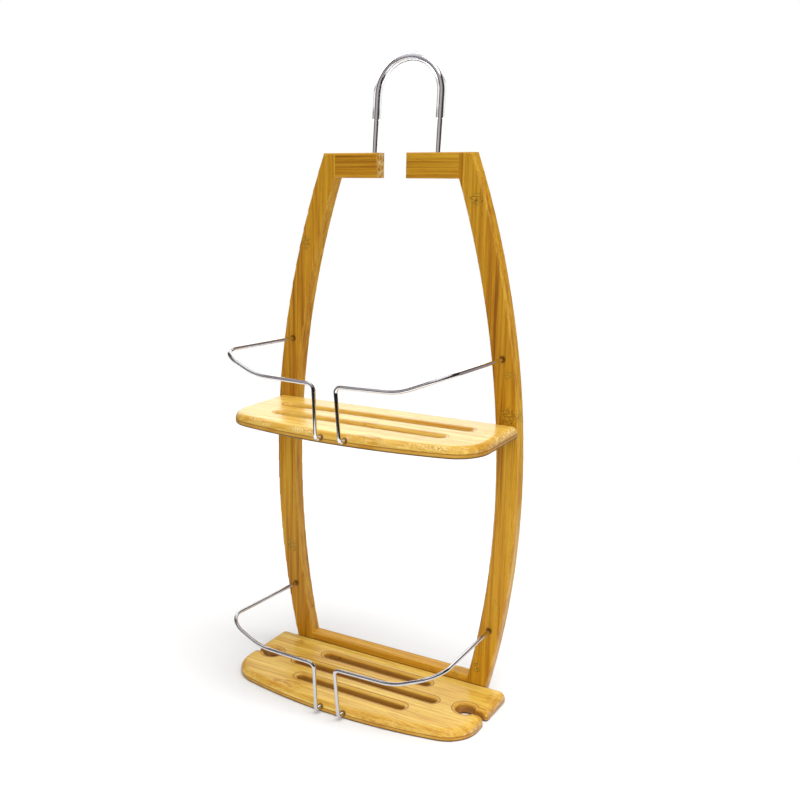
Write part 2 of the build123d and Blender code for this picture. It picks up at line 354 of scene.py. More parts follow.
def grain_group() -> bpy.types.NodeTree:
    """Grain of laminated bamboo in board coordinates (across, depth, along).

    Strips are a random number for each step across the board. Streaks, veins, fibres and pores are
    noise that is stretched along the board, finer from one to the next. Bundles are the round fibre
    bundles of a sawn end, from the distance to the nearest point of a Voronoi pattern.

    Returns:
        The node group.
    """
    tree, g, source, sink = new_group(
        "bamboo_grain",
        {"Board": "Vector", "Strip Width": "Float", "Seed": "Float"},
        dict.fromkeys(("Strip", "Streak", "Vein", "Fibre", "Pore", "Dash", "Bundle"), "Float"),
    )
    seed = source.outputs["Seed"]
    shifted = g.vector("ADD", source.outputs["Board"], g.joined(seed, seed, seed))
    across, _, along = g.parts(shifted)
    wander = g.math("MULTIPLY", g.math("SUBTRACT", g.noise(g.joined(0.0, 0.0, along), 14.0), 0.5), 0.0012)
    lane = g.math("FLOOR", g.math("DIVIDE", g.math("ADD", across, wander), source.outputs["Strip Width"]))
    strip = g.add("ShaderNodeTexWhiteNoise", noise_dimensions="1D")
    g.feed(strip.inputs["W"], lane)
    streak = g.noise(g.vector("MULTIPLY", shifted, (330.0, 330.0, 7.0)), 1.0, 3.0, 0.35)
    fibre = g.noise(g.vector("MULTIPLY", shifted, (1500.0, 1500.0, 22.0)), 1.0, 3.0, 0.2)
    vein = g.noise(g.vector("MULTIPLY", shifted, (760.0, 760.0, 9.0)), 1.0, 2.0, 0.3)
    dash = g.noise(g.vector("MULTIPLY", shifted, (2100.0, 2100.0, 120.0)), 1.0, 1.0)
    cells = g.add("ShaderNodeTexVoronoi", feature="F1")
    g.feed(cells.inputs["Vector"], g.vector("MULTIPLY", shifted, (1250.0, 1250.0, 40.0)))
    cells.inputs["Scale"].default_value = 1.0
    g.feed(sink.inputs["Strip"], strip.outputs["Value"])
    g.feed(sink.inputs["Streak"], streak)
    short = g.noise(g.vector("MULTIPLY", shifted, (360.0, 360.0, 46.0)), 1.0, 3.0, 0.4)
    g.feed(sink.inputs["Dash"], g.step(short, 0.52, 0.66))
    g.feed(sink.inputs["Vein"], g.step(vein, 0.50, 0.70))
    g.feed(sink.inputs["Fibre"], fibre)
    g.feed(sink.inputs["Bundle"], g.step(cells.outputs["Distance"], 0.18, 0.50, 1.0, 0.0))
    g.feed(sink.inputs["Pore"], g.step(dash, 0.60, 0.72))
    return tree


def knuckle_group() -> bpy.types.NodeTree:
    """Mask of one bamboo knuckle: a soft oval in board coordinates with a ragged edge.

    Returns:
        The node group.
    """
    tree, g, source, sink = new_group(
        "bamboo_knuckle",
        {"Board": "Vector"} | dict.fromkeys(("Across", "Along", "Half Width", "Half Length"), "Float"),
        {"Mask": "Float"},
    )
    across, _, along = g.parts(source.outputs["Board"])
    ragged = g.noise(g.vector("MULTIPLY", source.outputs["Board"], (420.0, 420.0, 420.0)), 1.0, 3.0)
    u = g.math("DIVIDE", g.math("SUBTRACT", across, source.outputs["Across"]), source.outputs["Half Width"])
    v = g.math("DIVIDE", g.math("SUBTRACT", along, source.outputs["Along"]), source.outputs["Half Length"])
    reach = g.vector("LENGTH", g.joined(u, v, 0.0))
    reach = g.math("ADD", reach, g.math("MULTIPLY", g.math("SUBTRACT", ragged, 0.5), 1.1))
    g.feed(sink.inputs["Mask"], g.step(reach, 0.55, 1.1, 1.0, 0.0))
    return tree


def crackle_group() -> bpy.types.NodeTree:
    """Crackled net of a knuckle: thin lines between the cells of a stretched, bent Voronoi pattern.

    Returns:
        The node group.
    """
    tree, g, source, sink = new_group("bamboo_crackle", {"Board": "Vector"}, {"Lines": "Float"})
    board = source.outputs["Board"]
    node = g.add("ShaderNodeTexNoise")
    g.feed(node.inputs["Vector"], board)
    node.inputs["Scale"].default_value = 260.0
    bent = g.vector("ADD", board, g.vector("MULTIPLY", node.outputs["Color"], (0.0022, 0.0022, 0.0022)))
    cells = g.add("ShaderNodeTexVoronoi", feature="DISTANCE_TO_EDGE")
    g.feed(cells.inputs["Vector"], g.vector("MULTIPLY", bent, (640.0, 640.0, 420.0)))
    cells.inputs["Scale"].default_value = 1.0
    g.feed(sink.inputs["Lines"], g.step(cells.outputs["Distance"], 0.03, 0.20, 1.0, 0.0))
    return tree


def opening_group() -> bpy.types.NodeTree:
    """Distance in the plan of a shelf from the wall of an opening with round ends.

    The opening is a level line of half length Straight, thickened by Radius. The distance is from
    the point to the nearest point of that line, less the radius.

    Returns:
        The node group.
    """
    tree, g, source, sink = new_group(
        "shelf_opening",
        {"Place": "Vector"} | dict.fromkeys(("Middle X", "Middle Y", "Straight", "Radius"), "Float"),
        {"Distance": "Float"},
    )
    x, y, _ = g.parts(source.outputs["Place"])
    aside = g.math("ABSOLUTE", g.math("SUBTRACT", x, source.outputs["Middle X"]))
    over = g.math("SUBTRACT", aside, source.outputs["Straight"])
    flat = g.joined(g.math("MAXIMUM", over, 0.0), g.math("SUBTRACT", y, source.outputs["Middle Y"]), 0.0)
    g.feed(sink.inputs["Distance"], g.math("SUBTRACT", g.vector("LENGTH", flat), source.outputs["Radius"]))
    return tree


def line_group() -> bpy.types.NodeTree:
    """Soft line where a value is near a place: 1 on it, 0 beyond its half width.

    Returns:
        The node group.
    """
    tree, g, source, sink = new_group(
        "fine_line", {"Value": "Float", "Place": "Float", "Half Width": "Float"}, {"Mask": "Float"}
    )
    off = g.math("ABSOLUTE", g.math("SUBTRACT", source.outputs["Value"], source.outputs["Place"]))
    share = g.math("DIVIDE", off, source.outputs["Half Width"])
    g.feed(sink.inputs["Mask"], g.step(share, 0.3, 1.0, 1.0, 0.0))
    return tree


def rounding_group() -> bpy.types.NodeTree:
    """Mask of rounded edges: with n the part of the normal along the board's thickness, 4 n² (1 - n²).

    Returns:
        The node group.
    """
    tree, g, source, sink = new_group("rounded_edge", {"Thickness Axis": "Vector"}, {"Mask": "Float"})
    normal = g.add("ShaderNodeNewGeometry").outputs["Normal"]
    n = g.vector("DOT_PRODUCT", normal, source.outputs["Thickness Axis"])
    square = g.math("MULTIPLY", n, n)
    product = g.math("MULTIPLY", square, g.math("SUBTRACT", 1.0, square))
    g.feed(sink.inputs["Mask"], g.math("MULTIPLY", product, 4.0))
    return tree


@dataclass(frozen=True)
class Groups:
    """The shared node groups, each built once."""

    grain: bpy.types.NodeTree = field(default_factory=grain_group)
    knuckle: bpy.types.NodeTree = field(default_factory=knuckle_group)
    crackle: bpy.types.NodeTree = field(default_factory=crackle_group)
    opening: bpy.types.NodeTree = field(default_factory=opening_group)
    line: bpy.types.NodeTree = field(default_factory=line_group)
    rounding: bpy.types.NodeTree = field(default_factory=rounding_group)


def new_material(name: str) -> tuple[bpy.types.Material, Graph, bpy.types.Node]:
    """An empty node material with a Principled shader.

    Args:
        name: the material's name.

    Returns:
        (material, its graph, the shader node).
    """
    material = bpy.data.materials.new(name)
    material.use_nodes = True
    graph = Graph(material.node_tree)
    return material, graph, material.node_tree.nodes["Principled BSDF"]


# ---- finishes ----------------------------------------------------------------------------------------
class Grain(Enum):
    """Which way the grain of a board runs."""

    UPRIGHT = "along Z in a stile, which is sawn to its bow from a straight board"
    SIDEWAYS_UPRIGHT = "along X in a board that stands in the frame"
    SIDEWAYS_FLAT = "along X in a level shelf"


@dataclass(frozen=True)
class Knuckle:
    """Bamboo knuckle in board coordinates: middle across and along, half width and half length."""

    across: float
    along: float
    half_width: float = 0.006
    half_length: float = 0.006
    strength: float = 1.0


@dataclass(frozen=True)
class Opening:
    """Round-ended opening of a shelf, seen from above, whose rim the router rounded."""

    x: float
    y: float
    straight: float
    radius: float


@dataclass(frozen=True)
class Mark:
    """Round spot of painted shade, such as the shade round a wire where it enters its hole."""

    centre: Point
    radius: float
    strength: float = 0.8


@dataclass(frozen=True)
class BambooFinish:
    """Clear satin lacquer over carbonised laminated bamboo."""

    name: str
    grain: Grain
    seed: float
    strip_width: float = 0.0062
    knuckles: tuple[Knuckle, ...] = ()
    openings: tuple[Opening, ...] = ()
    marks: tuple[Mark, ...] = ()
    seam_height: float | None = None
    dark: Colour = (0.29, 0.093, 0.004, 1.0)
    middle: Colour = (0.54, 0.240, 0.009, 1.0)
    light: Colour = (0.72, 0.415, 0.030, 1.0)
    # Darkest brown of the wood's pores, knuckle lines and fine edge lines, also the colour of painted shade
    # in marks and seams.
    burn_and_shade: Colour = (0.16, 0.055, 0.004, 1.0)
    # Pale colour: the wood's own pale tone on the sawn ends, and a painted highlight on the rounded edges.
    worn: Colour = (0.88, 0.68, 0.30, 1.0)
    strip_share: float = 0.24
    vein_share: float = 0.30
    # Amounts of the painted highlight on rounded edges, in speckles and even.
    speckle: float = 0.12
    eased: float = 0.05
    dash_share: float = 0.0
    wall_shade: float = 0.72
    edge_shade: float = 0.0
    netted: bool = True
    specular: float = 0.20
    coat: float = 0.02
    relief: float = 0.00009
    # Colour of the painted shade on a shelf's sides below the rounding.
    side_shade: Colour = (0.50, 0.205, 0.010, 1.0)
    # Dark brown of the wood's flecks and slivers, also of the painted shade on the walls of the openings.
    fleck_and_shade: Colour = (0.30, 0.095, 0.006, 1.0)
    ink: Colour = (0.42, 0.155, 0.008, 1.0)
    # Near-black of the painted shadow along a shelf's bottom edge.
    contact_shadow: Colour = (0.03, 0.015, 0.004, 1.0)

    def board_coordinates(self, g: Graph, place: Socket) -> Socket:
        """Board coordinates (across, depth, along the grain) of a point.

        Args:
            g: graph of the material.
            place: point in metres.

        Returns:
            The board coordinates.
        """
        x, y, z = g.parts(place)
        order = {
            Grain.UPRIGHT: (x, y, z),
            Grain.SIDEWAYS_UPRIGHT: (z, y, x),
            Grain.SIDEWAYS_FLAT: (y, z, x),
        }
        return g.joined(*order[self.grain])

    def build(self, groups: Groups, sizes: Measures) -> bpy.types.Material:
        """The material, from the shared groups.

        Args:
            groups: the shared node groups.
            sizes: measures of the caddy.

        Returns:
            The material.
        """
        material, g, shader = new_material(self.name)
        place = g.add("ShaderNodeTexCoord").outputs["Object"]
        board = self.board_coordinates(g, place)
        grain = g.group(groups.grain, Board=board, Strip_Width=self.strip_width, Seed=self.seed).outputs
        tone = g.math("MULTIPLY_ADD", grain["Strip"], self.strip_share, 0.15 - self.strip_share / 2)
        tone = g.math("MULTIPLY_ADD", g.step(grain["Streak"], 0.25, 0.75), 0.50, tone)
        tone = g.math("MULTIPLY_ADD", grain["Fibre"], 0.34, tone)
        tone = g.math("MULTIPLY_ADD", grain["Vein"], -self.vein_share, tone, clamp=True)
        colour = g.ramp(tone, ((0.08, self.dark), (0.46, self.middle), (0.90, self.light)))
        colour = g.mix(g.math("MULTIPLY", grain["Pore"], 0.30), colour, self.burn_and_shade)
        colour = g.mix(g.math("MULTIPLY", grain["Dash"], self.dash_share), colour, self.dark)
        colour = self.add_end_grain(g, sizes, place, grain["Bundle"], colour)
        if self.grain is Grain.UPRIGHT:
            colour = self.add_side_figure(g, place, colour)
        colour, crack = self.add_knuckles(g, groups, board, colour)
        thickness_axis = (0.0, 0.0, 1.0) if self.grain is Grain.SIDEWAYS_FLAT else (0.0, 1.0, 0.0)
        rounded = g.group(groups.rounding, Thickness_Axis=thickness_axis).outputs["Mask"]
        # Painted highlight: the rounded edges are paled towards the pale colour, in speckles and evenly, as
        # if they caught the light.
        speck = g.step(g.noise(g.vector("MULTIPLY", place, (700.0, 700.0, 1100.0)), 1.0, 2.0), 0.46, 0.60)
        speck = g.math("MULTIPLY", speck, g.step(g.noise(place, 45.0, 1.0), 0.38, 0.62))
        colour = g.mix(g.math("MULTIPLY", rounded, self.edge_shade), colour, self.dark)
        near = self.nearest_opening(g, groups, place)
        worn = g.math("MULTIPLY", rounded, g.math("MULTIPLY_ADD", speck, self.speckle, self.eased))
        worn = g.math("MULTIPLY", worn, g.step(near, 0.004, 0.006))
        colour = g.mix(worn, colour, self.worn)
        groove = 0.0
        if self.grain is Grain.SIDEWAYS_FLAT:
            colour, groove = self.add_rounding_lines(g, groups, sizes, place, near, colour)
        colour = self.add_marks(g, groups, sizes, place, colour)
        g.feed(shader.inputs["Base Color"], colour)
        gloss = g.math("MULTIPLY_ADD", grain["Fibre"], 0.16, 0.27)
        g.feed(shader.inputs["Roughness"], g.math("MULTIPLY_ADD", grain["Pore"], 0.15, gloss))
        shader.inputs["Specular IOR Level"].default_value = self.specular
        shader.inputs["Coat Weight"].default_value = self.coat
        shader.inputs["Coat Roughness"].default_value = 0.15
        height = g.math("MULTIPLY_ADD", grain["Fibre"], 0.5, g.math("MULTIPLY", grain["Streak"], 0.3))
        height = g.math("MULTIPLY_ADD", grain["Pore"], -0.6, height)
        height = g.math("MULTIPLY_ADD", crack, -0.8, height)
        height = g.math("MULTIPLY_ADD", groove, -2.5, height)
        bump = g.add("ShaderNodeBump")
        bump.inputs["Strength"].default_value = 0.55
        bump.inputs["Distance"].default_value = self.relief
        g.feed(bump.inputs["Height"], height)
        g.feed(shader.inputs["Normal"], bump.outputs[0])
        return material

    def add_end_grain(
        self, g: Graph, sizes: Measures, place: object, bundle: object, colour: object,
    ) -> object:
        """Mottles the faces that cut across the grain.

        Args:
            g: graph of the material.
            sizes: measures of the caddy.
            place: point in metres.
            bundle: mask of the fibre bundles.
            colour: colour so far.

        Returns:
            The colour with the fibre bundles of the sawn ends.
        """
        along = (0.0, 0.0, 1.0) if self.grain is Grain.UPRIGHT else (1.0, 0.0, 0.0)
        normal = g.add("ShaderNodeNewGeometry").outputs["Normal"]
        facing = g.math("ABSOLUTE", g.vector("DOT_PRODUCT", normal, along))
        cut = g.step(facing, 0.75, 0.92)
        cloud = g.step(g.noise(place, 240.0, 2.0), 0.40, 0.60)
        pale = g.mix(g.math("MULTIPLY", cloud, 0.75), colour, self.worn)
        dotted = g.mix(g.math("MULTIPLY", bundle, 0.60), pale, self.dark)
        middle = sizes.face_y + sizes.board / 2
        off = g.math("ABSOLUTE", g.math("SUBTRACT", g.parts(place)[1], middle))
        rim = g.step(off, sizes.board * 0.22, sizes.board * 0.42)
        rim = g.math("MULTIPLY", rim, g.math("MULTIPLY_ADD", bundle, 0.5, 0.35))
        dotted = g.mix(rim, dotted, self.fleck_and_shade)
        return g.mix(cut, colour, dotted)

    def add_side_figure(self, g: Graph, place: object, colour: object) -> object:
        """Pale blotches and dark slivers on the sawn sides of a stile.

        Args:
            g: graph of the material.
            place: point in metres.
            colour: colour so far.

        Returns:
            The colour with the figure of the sides.
        """
        normal_x = g.parts(g.add("ShaderNodeNewGeometry").outputs["Normal"])[0]
        side = g.step(g.math("ABSOLUTE", normal_x), 0.60, 0.85)
        outward = g.math("MULTIPLY", normal_x, g.math("SIGN", g.parts(place)[0]))
        blotch = g.step(g.noise(g.vector("MULTIPLY", place, (20.0, 210.0, 24.0)), 1.0, 3.0), 0.44, 0.62)
        sliver = g.step(g.noise(g.vector("MULTIPLY", place, (20.0, 330.0, 19.0)), 1.3, 2.0), 0.63, 0.70)
        colour = g.mix(g.math("MULTIPLY", g.math("MULTIPLY", side, blotch), 0.40), colour, self.light)
        dark_side = g.math("MULTIPLY", g.step(outward, 0.60, 0.85), sliver)
        return g.mix(g.math("MULTIPLY", dark_side, 0.75), colour, self.fleck_and_shade)

    def add_knuckles(self, g: Graph, groups: Groups, board: object, colour: object) -> tuple[object, object]:
        """Darkens the knuckles and draws their crackle.

        Args:
            g: graph of the material.
            groups: the shared node groups.
            board: board coordinates.
            colour: colour so far.

        Returns:
            (colour, mask of the crackle lines).
        """
        if not self.knuckles:
            return colour, 0.0
        total = 0.0
        for spot in self.knuckles:
            mask = g.group(
                groups.knuckle, Board=board, Across=spot.across, Along=spot.along,
                Half_Width=spot.half_width, Half_Length=spot.half_length,
            ).outputs["Mask"]
            total = g.math("MAXIMUM", total, g.math("MULTIPLY", mask, spot.strength))
        if self.netted:
            net = g.group(groups.crackle, Board=board).outputs["Lines"]
            fine = g.vector("MULTIPLY", board, (560.0, 560.0, 760.0))
            dots = g.step(g.noise(fine, 1.0, 2.0, 0.5), 0.52, 0.60)
            net = g.math("MAXIMUM", g.math("MULTIPLY", net, 0.7), dots)
            base, ink = self.light, self.burn_and_shade
        else:
            streaked = g.vector("MULTIPLY", board, (520.0, 520.0, 110.0))
            net = g.step(g.noise(streaked, 1.0, 3.0, 0.6), 0.44, 0.58)
            base, ink = self.middle, self.ink
        lines = g.math("MULTIPLY", net, total)
        colour = g.mix(g.math("MULTIPLY", total, 0.45), colour, base)
        colour = g.mix(g.math("MULTIPLY", lines, 0.80), colour, ink)
        return colour, lines

    def nearest_opening(self, g: Graph, groups: Groups, place: object) -> object:
        """Distance in plan from the wall of the nearest opening, or a metre where there is none.

        Args:
            g: graph of the material.
            groups: the shared node groups.
            place: point in metres.

        Returns:
            The distance.
        """
        near = 1.0
        for hole in self.openings:
            distance = g.group(
                groups.opening, Place=place, Middle_X=hole.x, Middle_Y=hole.y,
                Straight=hole.straight, Radius=hole.radius,
            ).outputs["Distance"]
            near = g.math("MINIMUM", near, distance)
        return near

    def add_rounding_lines(
        self, g: Graph, groups: Groups, sizes: Measures, place: object, near: object, colour: object,
    ) -> tuple[object, object]:
        """Draws fine brown lines and grooves where the roundings end; paints shade on opening walls, shelf
        sides and the bottom edge.

        Args:
            g: graph of the material.
            groups: the shared node groups.
            sizes: measures of the caddy.
            place: point in metres.
            near: distance from the nearest opening.
            colour: colour so far.

        Returns:
            (colour, mask of the lines, which is also a groove).
        """
        _, _, z = g.parts(place)
        top = sizes.upper_top if self.name.startswith("upper") else sizes.lower_top
        line_z = top - sizes.shelf_round
        under = top - sizes.shelf_thickness
        edge = g.group(groups.line, Value=z, Place=line_z, Half_Width=0.00042).outputs["Mask"]
        ring = g.group(groups.line, Value=near, Place=sizes.opening_round, Half_Width=0.00085).outputs["Mask"]
        normal_z = g.parts(g.add("ShaderNodeNewGeometry").outputs["Normal"])[2]
        on_top = g.step(normal_z, 0.80, 0.95)
        ring = g.math("MULTIPLY", ring, on_top)
        # Painted shade: the walls of the slots and keyholes are browned, as shade falls inside the openings.
        wall = g.step(near, 0.0003, 0.0010, self.wall_shade, 0.0)
        outside = g.math("MULTIPLY", edge, g.step(near, 0.0002, 0.0012))
        side_only = g.math("SUBTRACT", 1.0, g.step(g.math("ABSOLUTE", normal_z), 0.35, 0.6))
        outside = g.math("MULTIPLY", outside, side_only)
        # Painted shade: the shelf's sides below the rounding are darkened, as the sides get less light than
        # the top.
        side_shade = g.math("MULTIPLY", g.step(z, line_z, line_z + 0.0012, 0.60, 0.0), side_only)
        # Painted shadow: a near-black line along the bottom edge of the shelf's sides.
        foot = g.group(groups.line, Value=z, Place=under, Half_Width=0.0018).outputs["Mask"]
        colour = g.mix(side_shade, colour, self.side_shade)
        colour = g.mix(wall, colour, self.fleck_and_shade)
        colour = g.mix(g.math("MULTIPLY", ring, 0.80), colour, self.fleck_and_shade)
        colour = g.mix(g.math("MULTIPLY", outside, 0.75), colour, self.burn_and_shade)
        colour = g.mix(g.math("MULTIPLY", foot, 0.9), colour, self.contact_shadow)
        return colour, g.math("MAXIMUM", ring, outside)

    def add_marks(self, g: Graph, groups: Groups, sizes: Measures, place: object, colour: object) -> object:
        """Draws the round spots of painted shade, and the painted shade along the seams where a board meets a
        shelf.

        Args:
            g: graph of the material.
            groups: the shared node groups.
            sizes: measures of the caddy.
            place: point in metres.
            colour: colour so far.

        Returns:
            The colour with the marks.
        """
        # Painted shade: each mark darkens a round spot.
        for mark in self.marks:
            away = g.vector("DISTANCE", place, mark.centre)
            amount = g.step(away, mark.radius * 0.75, mark.radius * 1.35, mark.strength, 0.0)
            colour = g.mix(amount, colour, self.burn_and_shade)
        # Painted shade in the crease where the front of the frame meets the shelf's top.
        if self.seam_height is not None:
            _, y, z = g.parts(place)
            seam = g.group(groups.line, Value=z, Place=self.seam_height, Half_Width=0.0011).outputs["Mask"]
            seam = g.math("MULTIPLY", seam, g.step(y, sizes.face_y + 0.0003, sizes.face_y + 0.0008, 1.0, 0.0))
            colour = g.mix(g.math("MULTIPLY", seam, 0.65), colour, self.burn_and_shade)
        # Painted shade along a shelf's back edge, where it meets the front of the frame.
        if self.grain is Grain.SIDEWAYS_FLAT:
            y = g.parts(place)[1]
            seam = g.group(groups.line, Value=y, Place=sizes.face_y, Half_Width=0.0009).outputs["Mask"]
            colour = g.mix(g.math("MULTIPLY", seam, 0.6), colour, self.burn_and_shade)
        return colour


@dataclass(frozen=True)
class ChromeFinish:
    """Bright chrome plating on drawn wire: a faint bump, haze and water spots."""

    name: str
    colour: Colour = (0.80, 0.795, 0.81, 1.0)
    dull: Colour = (0.64, 0.62, 0.64, 1.0)

    def build(self) -> bpy.types.Material:
        """The material.

        Returns:
            The material.
        """
        material, g, shader = new_material(self.name)
        place = g.add("ShaderNodeTexCoord").outputs["Object"]
        haze = g.noise(place, 90.0, 4.0)
        spots = g.step(g.noise(place, 620.0, 2.0), 0.66, 0.74)
        tint = g.mix(g.math("MULTIPLY", haze, 0.35), self.colour, self.dull)
        g.feed(shader.inputs["Base Color"], tint)
        shader.inputs["Metallic"].default_value = 1.0
        gloss = g.math("MULTIPLY_ADD", haze, 0.10, 0.03)
        g.feed(shader.inputs["Roughness"], g.math("MULTIPLY_ADD", spots, 0.16, gloss))
        bump = g.add("ShaderNodeBump")
        bump.inputs["Strength"].default_value = 0.25
        bump.inputs["Distance"].default_value = 0.00004
        g.feed(bump.inputs["Height"], g.noise(place, 260.0, 3.0))
        g.feed(shader.inputs["Normal"], bump.outputs[0])
        return material


@dataclass(frozen=True)
class VinylFinish:
    """Clear soft vinyl tube, slightly milky, with fine extrusion waves."""

    name: str = "clear_vinyl_tube"
    clear: Colour = (0.99, 0.99, 1.0, 1.0)
    milky: Colour = (0.93, 0.94, 0.96, 1.0)
    bending: float = 1.20

    def build(self) -> bpy.types.Material:
        """The material.

        Returns:
            The material.
        """
        material, g, shader = new_material(self.name)
        place = g.add("ShaderNodeTexCoord").outputs["Object"]
        cloud = g.noise(place, 140.0, 3.0)
        g.feed(shader.inputs["Base Color"], g.mix(cloud, self.milky, self.clear))
        g.feed(shader.inputs["Roughness"], g.math("MULTIPLY_ADD", cloud, 0.02, 0.005))
        shader.inputs["Transmission Weight"].default_value = 1.0
        shader.inputs["IOR"].default_value = self.bending
        bump = g.add("ShaderNodeBump")
        bump.inputs["Strength"].default_value = 0.3
        bump.inputs["Distance"].default_value = 0.00005
        g.feed(bump.inputs["Height"], g.noise(place, 320.0, 2.0))
        g.feed(shader.inputs["Normal"], bump.outputs[0])
        return material


@dataclass(frozen=True)
class SteelFinish:
    """Turned stainless steel of a screw, with fine scratches, darker deep in its recess."""

    name: str
    colour: Colour = (0.60, 0.59, 0.57, 1.0)
    scratched: Colour = (0.42, 0.41, 0.40, 1.0)
    recess_dark: Colour = (0.06, 0.055, 0.05, 1.0)

    def build(self, back_y: float) -> bpy.types.Material:
        """The material; back_y is the face that the heads are flush with.

        Args:
            back_y: y of the face that the heads are flush with.

        Returns:
            The material.
        """
        material, g, shader = new_material(self.name)
        place = g.add("ShaderNodeTexCoord").outputs["Object"]
        scratch = g.noise(g.vector("MULTIPLY", place, (3200.0, 500.0, 900.0)), 1.0, 3.0)
        y = g.parts(place)[1]
        # Darker towards the bottom of the recess in the head.
        sunk = g.step(g.math("SUBTRACT", back_y, y), 0.0002, 0.0016)
        tint = g.mix(g.math("MULTIPLY", scratch, 0.4), self.colour, self.scratched)
        g.feed(shader.inputs["Base Color"], g.mix(g.math("MULTIPLY", sunk, 0.8), tint, self.recess_dark))
        shader.inputs["Metallic"].default_value = 1.0
        g.feed(shader.inputs["Roughness"], g.math("MULTIPLY_ADD", scratch, 0.25, 0.2))
        bump = g.add("ShaderNodeBump")
        bump.inputs["Strength"].default_value = 0.3
        bump.inputs["Distance"].default_value = 0.00003
        g.feed(bump.inputs["Height"], scratch)
        g.feed(shader.inputs["Normal"], bump.outputs[0])
        return material


# ---- meshes ------------------------------------------------------------------------------------------
END_ROUNDING = 0.35
RIM_EASE = 0.12
MERGE_WITHIN = 2e-6
SLIVER_WITHIN = 1e-7
SHARP_ANGLE = radians(35)


def grid_faces(rows: int, columns: int, first: int = 0, flip: bool = False) -> np.ndarray:
    """Quads of a grid that closes round its columns: each joins a point to the next in row and column.

    Args:
        rows, columns: size of the grid.
        first: number of its first point.
        flip: turns the faces over.

    Returns:
        The quads, one row each.
    """
    row, column = np.meshgrid(np.arange(rows - 1), np.arange(columns), indexing="ij")
    after = (column + 1) % columns
    here, beyond = row * columns, (row + 1) * columns
    corners = [here + column, here + after, beyond + after, beyond + column]
    quads = np.stack([c.ravel() for c in corners], axis=1) + first
    return quads[:, ::-1] if flip else quads


def rounded_path(points: np.ndarray, radii: tuple[float, ...], spacing: float) -> np.ndarray:
    """Centreline of a wire bent round its inner corner points.

    At a corner with directions a before and b after, and bend angle t, the arc of radius r begins
    r tan(t/2) before the corner. Its points are centre + r (cos s · u + sin s · a), with u the unit
    vector from the centre to the arc's beginning and s from 0 to t.

    Args:
        points: corner points, the two ends among them.
        radii: bend radius at each inner corner.
        spacing: greatest distance between points on the path.

    Returns:
        The path's points, one row each.
    """
    stations = [points[:1]]
    for corner, before, after, radius in zip(points[1:-1], points[:-2], points[2:], radii):
        a = (corner - before) / np.linalg.norm(corner - before)
        b = (after - corner) / np.linalg.norm(after - corner)
        turn = float(np.arccos(np.clip(a @ b, -1, 1)))
        start = corner - a * radius * np.tan(turn / 2)
        inward = b - a * (a @ b)
        inward /= np.linalg.norm(inward)
        centre = start + inward * radius
        count = max(6, int(radius * turn / spacing * 1.5) + 2)
        s = np.linspace(0, turn, count)[:, None]
        stations.append(centre + radius * (-np.cos(s) * inward + np.sin(s) * a))
    stations.append(points[-1:])
    corners = np.concatenate(stations)
    gaps = np.linalg.norm(np.diff(corners, axis=0), axis=1)
    place = np.concatenate([[0], np.cumsum(gaps)])
    spans = zip(place[:-1], place[1:])
    extra = [np.linspace(p, q, max(2, int((q - p) / spacing) + 2))[:-1] for p, q in spans]
    at = np.concatenate(extra + [place[-1:]])
    return np.stack([np.interp(at, place, corners[:, k]) for k in range(3)], axis=1)


def swept(path: np.ndarray, radius: np.ndarray, guide: Point, sides: int) -> np.ndarray:
    """Round section of changing radius carried along a path.

    At each station the section's axes are the part of a fixed guide vector that is square to the
    path, and its cross product with the path. Point (i, k) is path i plus radius i times the axes
    turned by k steps of the circle.

    Args:
        path: stations, one row each.
        radius: radius at each station.
        guide: fixed vector that is nowhere along the path.
        sides: points round the section.

    Returns:
        The points, with the circle's steps running fastest.
    """
    ahead = np.gradient(path, axis=0)
    ahead /= np.linalg.norm(ahead, axis=1, keepdims=True)
    fixed = np.array(guide) / np.linalg.norm(guide)
    first = fixed - (ahead @ fixed)[:, None] * ahead
    first /= np.linalg.norm(first, axis=1, keepdims=True)
    second = np.cross(ahead, first)
    turn = 2 * pi * np.arange(sides) / sides
    ring = np.cos(turn)[None, :, None] * first[:, None] + np.sin(turn)[None, :, None] * second[:, None]
    return (path[:, None] + radius[:, None, None] * ring).reshape(-1, 3)


def mesh_object(
    name: str, points: np.ndarray, faces: list[np.ndarray], smooth: bool = True,
) -> bpy.types.Object:
    """An object at the origin from points and groups of faces with equal corner counts.

    Args:
        name: name of the object and its mesh.
        points: points, one row each.
        faces: blocks of faces, one row each.
        smooth: shades it smoothly.

    Returns:
        The object.
    """
    mesh = bpy.data.meshes.new(name)
    mesh.from_pydata(points.tolist(), [], [face for block in faces for face in block.tolist()])
    mesh.update()
    if smooth:
        mesh.polygons.foreach_set("use_smooth", np.ones(len(mesh.polygons), dtype=bool))
    piece = bpy.data.objects.new(name, mesh)
    bpy.context.scene.collection.objects.link(piece)
    return piece


